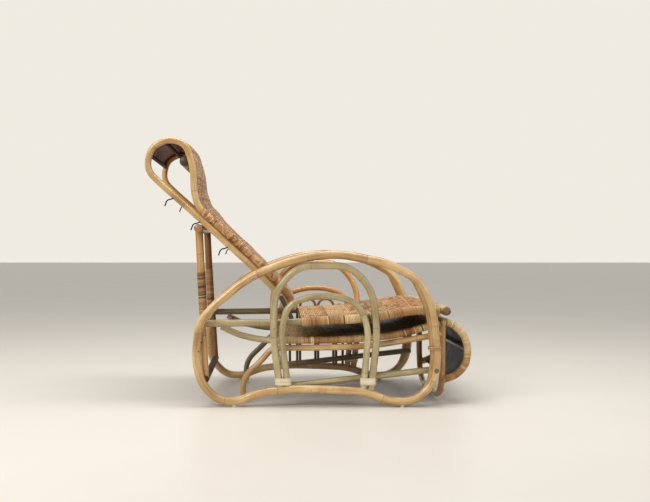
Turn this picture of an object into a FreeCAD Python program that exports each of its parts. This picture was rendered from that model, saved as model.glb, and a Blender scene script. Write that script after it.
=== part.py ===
"""Rattan folding recliner: bent pole side frames, woven seat, hooked back, prop and sliding footrest.

Lengths are in millimetres. The sitter faces +X, +Z is up and the floor is Z = 0.
"""
import FreeCAD, Part
import math
import os

V = FreeCAD.Vector
ALONG_Y = V(0, 1, 0)

# Overall size and datum
OVERALL_WIDTH = 699.0
DATUM = 155.0            # heights and reaches are read from a line this far behind the middle
FIT_GAP = 0.3            # between pieces that lie against each other
RUNNING_GAP = 0.05       # radial, at a pin or pivot
ARC_SHARE = 0.45         # part of the shorter run that a bend uses
FINE_STEPS = 500         # points along a path, before a sheet's ribs are picked from them

# Pole diameters
SIDE_POLE = 33.0
OUTER_ARCH_POLE = 28.0
INNER_ARCH_POLE = 26.0
DOUBLER_POLE = 24.0
STRETCHER_POLE = 25.0
CROSSBAR_POLE = 28.0
SEAT_POLE = 28.0
SEAT_WRAP = 35.0
NOSE_POLE = 35.0
HOOP_POLE = 12.0
BACK_POLE = 26.0
BACK_WRAP = 29.0
PROP_POLE = 31.0
PROP_WRAP = 34.0
CATCH_POLE = 33.0
FOOT_POLE = 25.0
FOOT_WRAP = 29.0
FOOT_UNDER_POLE = 24.0
LEG_POLE = 26.0
FRONT_CROSS_POLE = 20.0
SLAT_POLE = 16.0
HEAD_ROLL = 40.0

# Sheets, wire and metal
WEAVE = 4.0
WEAVE_LIFT = 8.5         # from a rail's centre line to the underside of the woven sheet
WIRE = 5.0
BINDING = 2.5
STRAP = 2.5
STRAP_WIDTH = 18.0
PIN = 8.0
PIN_HEAD = 14.0
PIN_HEAD_HIGH = 1.6
GLIDE = 18.0
GLIDE_HIGH = 9.0
DOWEL = 18.0
SCARF_SLOT = 0.5
EYE_WALL = 7.0
CATCH_PAST = 4.0         # the catch bar's end, past the back pole's centre line
HOOK_CLEAR = 1.0         # from the catch bar's end to the hook wires, and round the bar
RAIL_SPACE = 1.0         # between the back's two rails

# Pivots, as (reach, height)
BACK_PIVOT = (87, 343)
PROP_PIVOT = (-262, 325)
CATCH_BAR = (-280.8, 693.5)
NOSE = (692, 369)

# Bent pole outlines, as corner points of (reach, height)
SIDE_LOOP = [(-125, 20), (-200, 27), (-263, 90), (-285, 190), (-270, 325), (-215, 391), (-77, 505), (105, 574),
             (262, 595), (465, 557), (588, 484), (634, 375), (653, 190), (637, 92), (566, 24),
             (473, 20), (370, 60), (215, 67), (90, 70), (-40, 55)]
DOUBLER_FROM = 10        # the doubler pole follows the side loop's inside after this corner
DOUBLER_TO = 14
DOUBLER_TOP = (560, 499) # where its ends run into the loop
DOUBLER_FOOT = (598, 55)
DOUBLER_SPACING = 15.0   # between the two centre lines, so that the poles are let into each other
OUTER_ARCH = [(44, 60), (15, 270), (22, 448), (112, 547), (316, 547), (402, 450), (421, 280), (393, 60)]
INNER_ARCH = [(75, 60), (46, 290), (73, 398), (165, 429), (265, 429), (350, 398), (386, 300), (365, 60)]
STRETCHER = [(85, 78), (129, 82), (655, 142)]
SEAT_RAIL = [(-262, 320), (100, 325), (385, 340), (570, 373), (692, 369)]
BACK_UNDER = [(80, 366), (38, 436), (-75, 550), (-300, 756), (-425, 866)]
BACK_HEAD = [(-485, 925), (-468, 1013), (-402, 1047), (-331, 1030), (-300, 935), (-297, 835)]
FOOT_RAIL = [(-190, 305), (-118, 271), (-20, 250), (280, 250), (500, 268), (640, 308), (712, 327),
             (772, 274), (790, 212), (778, 150), (742, 112), (687, 93)]
FOOT_UNDER = [(-104, 12), (-104, 80), (-85, 118), (-24, 176), (8, 216), (65, 220), (222, 221),
              (400, 226), (629, 265), (687, 277)]

# Places of cross members, wraps and hooks
REAR_LOW_BAR = (-248, 104)
FRONT_CROSS_RAIL = (634, 343)
SEAT_SLATS = [(138, 327.5), (350, 339), (500, 359)]
BACK_SLATS = [0.12, 0.5, 0.86]       # share of the front rail's straight stretch
HEAD_SLATS = [(-473.5, 985), (-401, 1027)]
HEAD_ROLL_AT = (-336, 960)
WEAVE_LOW_END = 985      # height where the head's weave stops, behind the head
FOOT_SLATS = [(-176, 298), (22, 250), (300, 251), (560, 284), (781, 212)]
FOOT_PLAIN_END = 0.0     # the footrest rail is wrapped ahead of this reach
SEAT_PLAIN_END = 125.0
SEAT_WRAP_END = 668.0
LEG_REACH = 687.0
LEG_BEND = 100.0
LEG_LOW = 19.0
LEG_GLIDE_Y = 130.0
FOOT_RAIL_Y = 258.0
FOOT_WEAVE_START = 12.0
PROP_POST_Y = 226.0
HOOP_LEGS = [(97, 131, 350), (144.5, 215.5, 377), (228.5, 299.5, 377), (312.5, 343, 350)]
SIDE_GLIDES = [-135, 515]
HOOK_REACHES = {"top": -384, "middle": CATCH_BAR[0], "bottom": -172}
HOOK_SHANK = 14.0        # how far up the rail the hook's shank stands from the bar
HOOK_BEND = 5.0
HOOK_LIP = 8.0
HOOK_ROOT = 12.0
PLATE_FOOT = (83, 318)   # low end of the fixed pivot plates
STRAP_REACH = 62.0       # how far the back's straps run up its rails
SCARF_ENDS = [(-300, 126), (-245, 331)]
BACK_WRAP_FOOT = 14.0    # bare pole left at the foot of the front rail
BACK_WRAP_NECK = 12.0
EMBED = 2.0              # how far a dowel or a roll runs into the pole that holds it
SEAT_CROWNS = [(0, 17), (0.3, 17), (0.58, 30), (0.86, 28), (1, 12)]
BACK_CROWNS = [(0, 2), (0.3, 12), (0.44, 26), (0.65, 12), (1, 8)]
FOOT_CROWNS = [(0, 4), (0.5, 5), (1, 2)]
SEAT_RIBS = 20
BACK_RIBS = 40
FOOT_RIBS = 44
ROLL_SHEET_LOW = 200.0   # the footrest's sheet keeps below this height only in front of the leg
ROLL_SHEET_FRONT = 30.0
DOWEL_AT = (646, 141)
BINDING_HEIGHT = 228.0
BINDING_LONG = 14.0
FOOT_WRAP_LOW = 85.0
FOOT_WRAP_HIGH = 112.0
PROP_WRAP_LOW = 352.0
PROP_WRAP_HIGH = 521.0

# Widths worked out from what lies beside what
SIDE_Y = (OVERALL_WIDTH - SIDE_POLE) / 2
INNER_FACE = SIDE_Y - SIDE_POLE / 2
ARCH_Y = INNER_FACE + OUTER_ARCH_POLE / 2
STRETCHER_Y = INNER_FACE - BINDING - FIT_GAP - STRETCHER_POLE / 2
SEAT_Y = INNER_FACE - FIT_GAP - SEAT_WRAP / 2
PLATE_Y = SEAT_Y - SEAT_POLE / 2 - FIT_GAP - STRAP
STRAP_Y = PLATE_Y - FIT_GAP - STRAP
BACK_Y = STRAP_Y - FIT_GAP - BACK_POLE / 2
BACK_SPACING = (BACK_POLE + BACK_WRAP) / 2 + RAIL_SPACE
CATCH_HALF = BACK_Y + CATCH_PAST
HOOK_Y = CATCH_HALF + HOOK_CLEAR + WIRE / 2


def at(place, y=0.0):
    """A point of the model from a (reach, height) pair."""
    return V(place[0] - DATUM, y, place[1])


def reach_at(low, high, height):
    """Reach of the line through two places at a height."""
    return low[0] + (high[0] - low[0]) * (height - low[1]) / (high[1] - low[1])


def sheet_half(rail_y, cover):
    """Half the width of a sheet whose underside ends beside the round cover of its two rails."""
    return rail_y - math.sqrt((cover / 2) ** 2 - WEAVE_LIFT ** 2) - FIT_GAP


def normal_to(direction):
    """Unit normal in the side view, to the left of a direction."""
    return V(-direction.z, 0, direction.x).normalize()


def bends(points, closed):
    """For each corner that bends: its place in the list and the start, middle and end of its arc."""
    found = {}
    count = len(points)
    corners = range(count) if closed else range(1, count - 1)
    for index in corners:
        corner = points[index]
        back = points[index - 1] - corner
        ahead = points[(index + 1) % count] - corner
        turn = math.pi - back.getAngle(ahead)
        reach = ARC_SHARE * min(back.Length, ahead.Length)
        back.normalize()
        ahead.normalize()
        rise = reach / math.sin(turn / 2) - reach / math.tan(turn / 2)
        inward = (back + ahead).normalize()
        found[index] = (corner + back * reach, corner + inward * rise, corner + ahead * reach)
    return found


def path(points, closed=False, inset=0.0):
    """Straight runs joined by tangent arcs. inset moves the whole path to its left in the side view."""
    arcs = bends(points, closed)
    shifted = {}
    for index, (start, middle, end) in arcs.items():
        before = normal_to(points[index] - points[index - 1])
        after = normal_to(points[(index + 1) % len(points)] - points[index])
        halfway = (before + after).normalize()
        shifted[index] = (start + before * inset, middle + halfway * inset, end + after * inset)
    edges = []
    first = None
    here = None
    if not closed:
        here = points[0] + normal_to(points[1] - points[0]) * inset
    for index in sorted(shifted):
        start, middle, end = shifted[index]
        if here is None:
            first = start
        else:
            edges.append(Part.LineSegment(here, start).toShape())
        edges.append(Part.Arc(start, middle, end).toShape())
        here = end
    if closed:
        last = first
    else:
        last = points[-1] + normal_to(points[-1] - points[-2]) * inset
    edges.append(Part.LineSegment(here, last).toShape())
    return edges


def tube(edges, diameter):
    """A round pole along edges that join end to end."""
    start = edges[0].valueAt(edges[0].FirstParameter)
    along = edges[0].tangentAt(edges[0].FirstParameter)
    circle = Part.Wire([Part.makeCircle(diameter / 2, start, along)])
    pole = Part.Wire(edges).makePipeShell([circle], True, False)
    if pole.Volume < 0:
        pole.reverse()
    return pole


def bent(places, y, diameter, closed=False):
    """A pole in a side view plane, bent through corner places."""
    return tube(path([at(place, y) for place in places], closed), diameter)


def bar(place, low, high, diameter):
    """A straight pole across the chair, from Y = low to Y = high."""
    return Part.makeCylinder(diameter / 2, high - low, at(place, low), ALONG_Y)


def rod(start, end, diameter):
    """A straight pole between two points."""
    return Part.makeCylinder(diameter / 2, (end - start).Length, start, end - start)


def largest(shape):
    """The biggest solid, once cuts have left scraps."""
    return max(shape.Solids, key=lambda solid: solid.Volume)


def slab(low, high):
    """A block between two corners."""
    size = high - low
    return Part.makeBox(size.x, size.y, size.z, low)


def stadium(start, end, width, y_low, thickness):
    """A flat link with round ends, in a side view plane."""
    along = (end - start).normalize()
    side = normal_to(along) * (width / 2)
    tip = along * (width / 2)
    shift = V(0, y_low, 0)
    edges = [Part.LineSegment(start + side, end + side).toShape(),
             Part.Arc(end + side, end + tip, end - side).toShape(),
             Part.LineSegment(end - side, start - side).toShape(),
             Part.Arc(start - side, start - tip, start + side).toShape()]
    face = Part.Face(Part.Wire(edges))
    face.translate(shift)
    return face.extrude(V(0, thickness, 0))


def section(point, along, half_width, rise, thickness):
    """One closed rib of a crowned sheet: two arcs across the chair and two short edges."""
    outward = normal_to(along)
    ribs = []
    for lift in (0.0, thickness):
        base = point + outward * lift
        left = base + ALONG_Y * half_width
        right = base - ALONG_Y * half_width
        ribs.append((left, base + outward * rise, right))
    (low_left, low_top, low_right), (high_left, high_top, high_right) = ribs
    return Part.Wire([Part.Arc(low_left, low_top, low_right).toShape(),
                      Part.LineSegment(low_right, high_right).toShape(),
                      Part.Arc(high_right, high_top, high_left).toShape(),
                      Part.LineSegment(high_left, low_left).toShape()])


def blend(knots, share):
    """A smooth value between (share, value) knots."""
    for (near, value), (far, following) in zip(knots, knots[1:]):
        if share <= far:
            step = (share - near) / (far - near)
            return value + (following - value) * step * step * (3 - 2 * step)
    return knots[-1][1]


def stations(edges, kept, count):
    """Evenly spaced points along the part of a path where kept(point) holds."""
    wire = Part.Wire(edges)
    points = [point for point in wire.discretize(Number=FINE_STEPS) if kept(point)]
    step = (len(points) - 1) / (count - 1)
    return [points[round(index * step)] for index in range(count)]


def crowned_sheet(points, half_width, crowns):
    """A woven sheet through points, raised along its middle by the crown knots."""
    ribs = []
    last = len(points) - 1
    for index, point in enumerate(points):
        along = (points[min(index + 1, last)] - points[max(index - 1, 0)]).normalize()
        ribs.append(section(point, along, half_width, blend(crowns, index / last), WEAVE))
    return Part.makeLoft(ribs, True, False)


def beside(places, distance):
    """Corner places moved sideways, so that runs stay parallel at a distance to the right."""
    moved = []
    for index, place in enumerate(places):
        here = at(place)
        normals = []
        if index > 0:
            normals.append(normal_to(here - at(places[index - 1])))
        if index < len(places) - 1:
            normals.append(normal_to(at(places[index + 1]) - here))
        total = normals[0] if len(normals) == 1 else (normals[0] + normals[1])
        total = V(total).normalize()
        reach = distance / total.dot(normals[0])
        moved.append((place[0] - total.x * reach, place[1] - total.z * reach))
    return moved


def sleeve(shapes, centres, y, diameters, low, high):
    """A cane binding round two upright poles, from height low to high, with the poles cut out."""
    wide = max(diameters) + 2 * BINDING
    start = V(centres[0] - DATUM, y, low)
    end = V(centres[1] - DATUM, y, low)
    side = V(0, wide / 2, 0)
    tip = V(wide / 2, 0, 0)
    edges = [Part.LineSegment(start - side, end - side).toShape(),
             Part.Arc(end - side, end + tip, end + side).toShape(),
             Part.LineSegment(end + side, start + side).toShape(),
             Part.Arc(start + side, start - tip, start - side).toShape()]
    band = Part.Face(Part.Wire(edges)).extrude(V(0, 0, high - low))
    for shape in shapes:
        band = band.cut(shape)
    return largest(band)


def side_loop(y):
    """The closed side pole: arm, front post, runner and rear post, scarf-joined at the rear."""
    loop = bent(SIDE_LOOP, y, SIDE_POLE, closed=True)
    low, high = [at(place, y) for place in SCARF_ENDS]
    along = (high - low).normalize()
    across = normal_to(along)
    corners = [low, high, high + across * SCARF_SLOT, low + across * SCARF_SLOT]
    outline = Part.makePolygon(corners + [low])
    slot = Part.Face(outline).extrude(V(0, SIDE_POLE * 2, 0))
    slot.translate(V(0, -SIDE_POLE, 0))
    return largest(loop.cut(slot))


def side_frame(sign):
    """Everything of one side frame that lies in its plane, by name."""
    y = sign * SIDE_Y
    arch_y = sign * ARCH_Y
    loop = side_loop(y)
    inner = beside(SIDE_LOOP[DOUBLER_FROM:DOUBLER_TO + 1], DOUBLER_SPACING)[1:-1]
    doubler = largest(bent([DOUBLER_TOP] + inner + [DOUBLER_FOOT], y, DOUBLER_POLE).cut(loop))
    outer = largest(bent(OUTER_ARCH, arch_y, OUTER_ARCH_POLE).cut(loop))
    inner_arch = largest(bent(INNER_ARCH, arch_y, INNER_ARCH_POLE).cut(loop))
    dowel = rod(at(DOWEL_AT, y + sign * (SIDE_POLE / 2 + 1)),
                at(DOWEL_AT, sign * (STRETCHER_Y - EMBED)), DOWEL)
    doubler = largest(doubler.cut(dowel))
    stretcher = bent(STRETCHER, sign * STRETCHER_Y, STRETCHER_POLE).cut(dowel)
    loop = largest(loop.cut(dowel))
    wraps = []
    middle = (FOOT_WRAP_LOW + FOOT_WRAP_HIGH) / 2
    for foot, knee in ((0, 1), (-1, -2)):
        feet = sorted((reach_at(OUTER_ARCH[foot], OUTER_ARCH[knee], middle),
                       reach_at(INNER_ARCH[foot], INNER_ARCH[knee], middle)))
        wraps.append(sleeve((outer, inner_arch, loop), feet, arch_y,
                            (OUTER_ARCH_POLE, INNER_ARCH_POLE), FOOT_WRAP_LOW, FOOT_WRAP_HIGH))
    post = reach_at(SIDE_LOOP[DOUBLER_FROM + 2], SIDE_LOOP[DOUBLER_FROM + 1], BINDING_HEIGHT)
    ring = sleeve((loop, doubler), (post - DOUBLER_SPACING, post), y, (SIDE_POLE, DOUBLER_POLE),
                  BINDING_HEIGHT - BINDING_LONG / 2, BINDING_HEIGHT + BINDING_LONG / 2)
    return {"side_loop": loop, "front_doubler": doubler, "outer_arch": outer,
            "inner_arch": inner_arch, "low_stretcher": largest(stretcher), "front_dowel": dowel,
            "arch_foot_wraps": Part.makeCompound(wraps), "front_binding": ring}


def glide(place, y, carrier):
    """A round glide under a pole, hollowed to the pole's curve."""
    puck = Part.makeCylinder(GLIDE / 2, GLIDE_HIGH, V(place - DATUM, y, 0))
    return largest(puck.cut(carrier))


def grille_hoop(legs, runner):
    """One small upside-down U of thin pole that stands on the left runner."""
    rear, front, top = legs
    hoop = bent([(rear, 60), (rear, top), (front, top), (front, 60)], ARCH_Y, HOOP_POLE)
    return largest(hoop.cut(runner))


def wrapped(edges, rail, diameter, low_reach, high_reach, y):
    """The cane wound round a rail between two reaches, as a sleeve on it."""
    jacket = tube(edges, diameter).cut(rail)
    keep = slab(at((low_reach, -50), y - diameter), at((high_reach, 1200), y + diameter))
    return largest(jacket.common(keep))


def seat_side(sign, base_bar, nose):
    """A seat rail and the cane wound round it."""
    y = sign * SEAT_Y
    edges = path([at(place, y) for place in SEAT_RAIL])
    whole = tube(edges, SEAT_POLE)
    rail = largest(whole.cut(base_bar).cut(nose))
    wrap = wrapped(edges, whole, SEAT_WRAP, SEAT_PLAIN_END, SEAT_WRAP_END, y)
    return rail, wrap


def seat_weave():
    """The crowned seat sheet, from just ahead of the back pivot to the nose roll."""
    edges = path([at(place) for place in SEAT_RAIL], inset=WEAVE_LIFT)
    start = SEAT_PLAIN_END - DATUM
    clear = NOSE_POLE / 2 + FIT_GAP
    points = stations(edges, lambda point: point.x > start and (point - at(NOSE)).Length > clear, SEAT_RIBS)
    return crowned_sheet(points, sheet_half(SEAT_Y, SEAT_WRAP), SEAT_CROWNS)


def back_places():
    """Corners of one back pole: up the under rail, round the head and down the front rail."""
    front = beside(BACK_UNDER[:4], BACK_SPACING)
    return BACK_UNDER + BACK_HEAD + front[::-1], front


def back_side(sign):
    """One side of the back: the looped pole and the cane wound round its front rail."""
    places, front = back_places()
    y = sign * BACK_Y
    pole = bent(places, y, BACK_POLE)
    edges = path([at(place, y) for place in front])
    whole = tube(edges, BACK_POLE)
    wrap = wrapped(edges, whole, BACK_WRAP, front[-1][0] + BACK_WRAP_NECK, front[0][0] - BACK_WRAP_FOOT, y)
    return pole, largest(wrap.cut(pole))


def hook(reach, sign, pole):
    """A bent iron wire hook that opens downward, rooted in the under rail."""
    y = sign * HOOK_Y
    centre = catch_place(reach)
    along = rail_direction(reach)
    out = normal_to(along) * -1
    ring = CATCH_POLE / 2 + WIRE / 2 + HOOK_CLEAR
    root = centre + out * (ring + HOOK_ROOT) + along * (HOOK_SHANK / 2)
    over = centre + along * (ring + HOOK_BEND)
    lip = centre + V(-ring - HOOK_LIP, 0, -HOOK_LIP)
    points = [root, centre + out * (ring - HOOK_BEND) + along * HOOK_SHANK, over, lip]
    points = [point + V(0, y, 0) for point in points]
    wire = tube(path(points), WIRE)
    return largest(wire.cut(pole))


def rail_direction(reach):
    """Direction up the under rail's long run."""
    return (at(BACK_UNDER[3]) - at(BACK_UNDER[2])).normalize()


def catch_place(reach):
    """Where the catch bar's centre lies under the rail when it is hooked at this reach."""
    foot = at(BACK_UNDER[2])
    along = rail_direction(reach)
    toward_front = normal_to(along) * -1
    bar_offset = (at(CATCH_BAR) - foot).dot(toward_front)
    run = (reach - DATUM - foot.x - toward_front.x * bar_offset) / along.x
    return foot + along * run + toward_front * bar_offset


def back_weave():
    """The woven back: up the front rails, past the neck, over the head and down behind it."""
    places, front = back_places()
    edges = path([at(place) for place in places], inset=WEAVE_LIFT)
    foot = (at(front[0]) + at(front[1])) * 0.5

    def kept(point):
        return point.z > WEAVE_LOW_END or (point.z > foot.z and above_front(point, front))

    points = stations(edges, kept, BACK_RIBS)
    return crowned_sheet(points, sheet_half(BACK_Y, BACK_WRAP), BACK_CROWNS)


def above_front(point, front):
    """Whether a point of the side view lies on the sitter's side of the front rail's line."""
    foot = at(front[1])
    along = (at(front[3]) - foot).normalize()
    return (point - foot).dot(normal_to(along)) < 1.0


def hinge_metal():
    """Fixed pivot plates and pins of the back, on the insides of the seat rails."""
    pivot = at(BACK_PIVOT)
    foot = at(PLATE_FOOT)
    plates = []
    pins = []
    for side, sign in (("right", -1), ("left", 1)):
        low = min(sign * PLATE_Y, sign * (PLATE_Y + STRAP))
        plate = stadium(pivot, foot, STRAP_WIDTH, low, STRAP)
        hole = bar(BACK_PIVOT, low - 1, low + STRAP + 1, PIN)
        outer = sign * (PLATE_Y + STRAP)
        inner = sign * (STRAP_Y - FIT_GAP)
        ends = sorted((outer, inner))
        pin = bar(BACK_PIVOT, ends[0], ends[1], PIN)
        cap = sorted((inner, inner - sign * PIN_HEAD_HIGH))
        pin = pin.fuse(bar(BACK_PIVOT, cap[0], cap[1], PIN_HEAD))
        plates.append(plate.cut(hole))
        pins.append(largest(pin.removeSplitter()))
    return {"back_pivot_plates": Part.makeCompound(plates), "back_pivot_pins": Part.makeCompound(pins)}


def back_strap(sign):
    """The steel strap on a back pole's outer face, with the eye that turns on the pivot pin."""
    pivot = at(BACK_PIVOT)
    up = (at(BACK_UNDER[1]) - at(BACK_UNDER[0])).normalize()
    end = at(BACK_UNDER[0]) + up * STRAP_REACH
    low = min(sign * STRAP_Y, sign * (STRAP_Y + STRAP))
    strap = stadium(pivot, end, STRAP_WIDTH, low, STRAP)
    return strap.cut(bar(BACK_PIVOT, low - 1, low + STRAP + 1, PIN + 2 * RUNNING_GAP))


def back_frame():
    """The back that turns on the pivot pins: poles, wraps, cross slats, weave, hooks and straps."""
    found = {}
    poles = {}
    wraps = []
    straps = []
    for side, sign in (("right", -1), ("left", 1)):
        pole, wrap = back_side(sign)
        wires = [hook(reach, sign, pole) for reach in HOOK_REACHES.values()]
        found["back_pole_" + side] = pole
        found["back_pole_wrap_" + side] = wrap
        found["catch_hooks_" + side] = Part.makeCompound(wires)
        straps.append(back_strap(sign))
        poles[sign] = pole
        wraps.append(wrap)
    carriers = list(poles.values()) + wraps
    found["back_straps"] = Part.makeCompound(straps)
    front = back_places()[1]
    low = at(front[1])
    high = at(front[3])
    slats = []
    for share in BACK_SLATS:
        place = low + (high - low) * share
        slats.append((place.x + DATUM, place.z))
    solids = []
    for place in slats + HEAD_SLATS:
        slat = bar(place, -BACK_Y, BACK_Y, SLAT_POLE)
        for carrier in carriers:
            slat = largest(slat.cut(carrier))
        solids.append(slat)
    found["back_slats"] = Part.makeCompound(solids)
    found["back_weave"] = back_weave()
    reach = BACK_Y - BACK_POLE / 2 + EMBED
    roll = bar(HEAD_ROLL_AT, -reach, reach, HEAD_ROLL)
    for pole in poles.values():
        roll = largest(roll.cut(pole))
    found["head_roll"] = roll
    return found


def prop_frame():
    """The prop that holds the back up: two wrapped posts with eyes round the pivot bar, and a catch bar."""
    found = {}
    catch = bar(CATCH_BAR, -CATCH_HALF, CATCH_HALF, CATCH_POLE)
    eye_width = CROSSBAR_POLE + 2 * (RUNNING_GAP + EYE_WALL)
    for side, sign in (("right", -1), ("left", 1)):
        y = sign * PROP_POST_Y
        eye = bar(PROP_PIVOT, y - PROP_POLE / 2, y + PROP_POLE / 2, eye_width)
        bore = bar(PROP_PIVOT, y - PROP_POLE, y + PROP_POLE, CROSSBAR_POLE + 2 * RUNNING_GAP)
        foot = at(PROP_PIVOT, y)
        top = at(CATCH_BAR, y)
        post = largest(rod(foot, top, PROP_POLE).cut(eye).cut(catch))
        jacket = rod(foot, top, PROP_WRAP).cut(rod(foot, top, PROP_POLE))
        keep = slab(V(foot.x - 90, y - 30, PROP_WRAP_LOW), V(foot.x + 90, y + 30, PROP_WRAP_HIGH))
        found["prop_eye_" + side] = eye.cut(bore)
        found["prop_post_" + side] = post
        found["prop_wrap_" + side] = largest(jacket.common(keep))
    found["catch_bar"] = catch
    return found


def foot_leg():
    """The footrest's front leg: a U of pole that stands on the floor."""
    top = FOOT_RAIL[5][1] + 4
    places = [V(LEG_REACH - DATUM, -FOOT_RAIL_Y, top), V(LEG_REACH - DATUM, -FOOT_RAIL_Y, LEG_LOW),
              V(LEG_REACH - DATUM, FOOT_RAIL_Y, LEG_LOW), V(LEG_REACH - DATUM, FOOT_RAIL_Y, top)]
    low_left = V(LEG_REACH - DATUM, FOOT_RAIL_Y - LEG_BEND, LEG_LOW)
    low_right = V(LEG_REACH - DATUM, -FOOT_RAIL_Y + LEG_BEND, LEG_LOW)
    high_right = V(LEG_REACH - DATUM, -FOOT_RAIL_Y, LEG_LOW + LEG_BEND)
    high_left = V(LEG_REACH - DATUM, FOOT_RAIL_Y, LEG_LOW + LEG_BEND)
    slack = LEG_BEND * (1 - math.sqrt(0.5))
    mid_right = V(LEG_REACH - DATUM, -FOOT_RAIL_Y + slack, LEG_LOW + slack)
    mid_left = V(LEG_REACH - DATUM, FOOT_RAIL_Y - slack, LEG_LOW + slack)
    edges = [Part.LineSegment(places[0], high_right).toShape(),
             Part.Arc(high_right, mid_right, low_right).toShape(),
             Part.LineSegment(low_right, low_left).toShape(),
             Part.Arc(low_left, mid_left, high_left).toShape(),
             Part.LineSegment(high_left, places[3]).toShape()]
    return tube(edges, LEG_POLE)


def footrest():
    """The footrest that slides out from under the seat on its own legs."""
    found = {}
    leg = foot_leg()
    rails = []
    wraps = []
    for side, sign in (("right", -1), ("left", 1)):
        y = sign * FOOT_RAIL_Y
        edges = path([at(place, y) for place in FOOT_RAIL])
        rail = tube(edges, FOOT_POLE)
        jacket = tube(edges, FOOT_WRAP).cut(rail)
        keep = slab(at((FOOT_PLAIN_END, -50), y - 40), at((1200, 1200), y + 40))
        wrap = largest(jacket.common(keep))
        rails.append(rail)
        wraps.append(wrap)
        found["foot_rail_" + side] = rail
        found["foot_rail_wrap_" + side] = wrap
    carriers = Part.makeCompound(rails + wraps)
    leg = largest(leg.cut(carriers))
    found["foot_front_leg"] = leg
    for side, sign in (("right", -1), ("left", 1)):
        under = bent(FOOT_UNDER, sign * FOOT_RAIL_Y, FOOT_UNDER_POLE)
        found["foot_rear_leg_" + side] = largest(under.cut(leg).cut(carriers))
        rail = found["foot_rail_" + side].cut(leg)
        found["foot_rail_" + side] = largest(rail)
        found["foot_rail_wrap_" + side] = largest(found["foot_rail_wrap_" + side].cut(leg))
    pads = []
    for sign in (-1, 1):
        pads.append(Part.makeCylinder(GLIDE / 2, FOOT_UNDER[0][1], at((FOOT_UNDER[0][0], 0), sign * FOOT_RAIL_Y)))
        pads.append(glide(LEG_REACH, sign * LEG_GLIDE_Y, leg))
    found["foot_glides"] = Part.makeCompound(pads)
    slats = [largest(bar(place, -FOOT_RAIL_Y, FOOT_RAIL_Y, SLAT_POLE).cut(carriers)) for place in FOOT_SLATS]
    found["foot_slats"] = Part.makeCompound(slats)
    found["foot_weave"] = foot_weave()
    return found


def foot_weave():
    """The footrest's sheet: along its rails, over the front and round the roll."""
    edges = path([at(place) for place in FOOT_RAIL], inset=WEAVE_LIFT)
    start = FOOT_WEAVE_START - DATUM
    front = LEG_REACH + ROLL_SHEET_FRONT - DATUM

    def kept(point):
        return point.x > start and (point.z > ROLL_SHEET_LOW or point.x > front)

    return crowned_sheet(stations(edges, kept, FOOT_RIBS), sheet_half(FOOT_RAIL_Y, FOOT_WRAP), FOOT_CROWNS)


def build():
    """All nodes by name."""
    nodes = {}
    loops = {}
    for side, sign in (("right", -1), ("left", 1)):
        for name, shape in side_frame(sign).items():
            nodes[name + "_" + side] = shape
        loops[sign] = nodes["side_loop_" + side]
    both = Part.makeCompound(list(loops.values()))

    dowels = [nodes.pop("front_dowel_right"), nodes.pop("front_dowel_left")]
    nodes["front_dowels"] = Part.makeCompound(dowels)
    rings = [nodes.pop("front_binding_right"), nodes.pop("front_binding_left")]
    nodes["front_bindings"] = Part.makeCompound(rings)
    feet = [glide(place, sign * SIDE_Y, loops[sign]) for sign in loops for place in SIDE_GLIDES]
    nodes["side_glides"] = Part.makeCompound(feet)
    for number, legs in enumerate(HOOP_LEGS, 1):
        nodes["grille_hoop_%d" % number] = grille_hoop(legs, loops[1])

    pivot_bar = bar(PROP_PIVOT, -SIDE_Y, SIDE_Y, CROSSBAR_POLE)
    nodes["rear_pivot_bar"] = largest(pivot_bar.cut(both))
    low_bar = bar(REAR_LOW_BAR, -SIDE_Y, SIDE_Y, CROSSBAR_POLE)
    nodes["rear_low_crossbar"] = largest(low_bar.cut(both))
    nose = bar(NOSE, -SEAT_Y - SEAT_WRAP / 2, SEAT_Y + SEAT_WRAP / 2, NOSE_POLE)
    nodes["seat_nose_roll"] = nose
    front_rail = bar(FRONT_CROSS_RAIL, -SIDE_Y, SIDE_Y, FRONT_CROSS_POLE).cut(both)
    doublers = Part.makeCompound([nodes["front_doubler_right"], nodes["front_doubler_left"]])
    nodes["front_cross_rail"] = largest(front_rail.cut(doublers))

    for side, sign in (("right", -1), ("left", 1)):
        post = rod(at(REAR_LOW_BAR, sign * SEAT_Y), at(PROP_PIVOT, sign * SEAT_Y), CROSSBAR_POLE)
        post = largest(post.cut(pivot_bar).cut(low_bar))
        rail, wrap = seat_side(sign, pivot_bar.fuse(post), nose)
        nodes["rear_post_" + side] = post
        nodes["seat_rail_" + side] = rail
        nodes["seat_rail_wrap_" + side] = wrap
    wraps = Part.makeCompound([nodes["seat_rail_wrap_right"], nodes["seat_rail_wrap_left"]])
    slats = []
    for place in SEAT_SLATS:
        slat = bar(place, -SEAT_Y, SEAT_Y, SLAT_POLE)
        slats.append(largest(slat.cut(wraps)))
    nodes["seat_slats"] = Part.makeCompound(slats)
    nodes["seat_weave"] = seat_weave()
    nodes.update(hinge_metal())
    nodes.update(back_frame())
    nodes.update(prop_frame())
    nodes.update(footrest())
    return nodes


def save(nodes):
    """One file per node."""
    os.makedirs("parts", exist_ok=True)
    for name, shape in nodes.items():
        shape.exportStep("parts/%s.step" % name)
        print(name, len(shape.Solids), round(shape.Volume), shape.isValid())


save(build())
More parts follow.
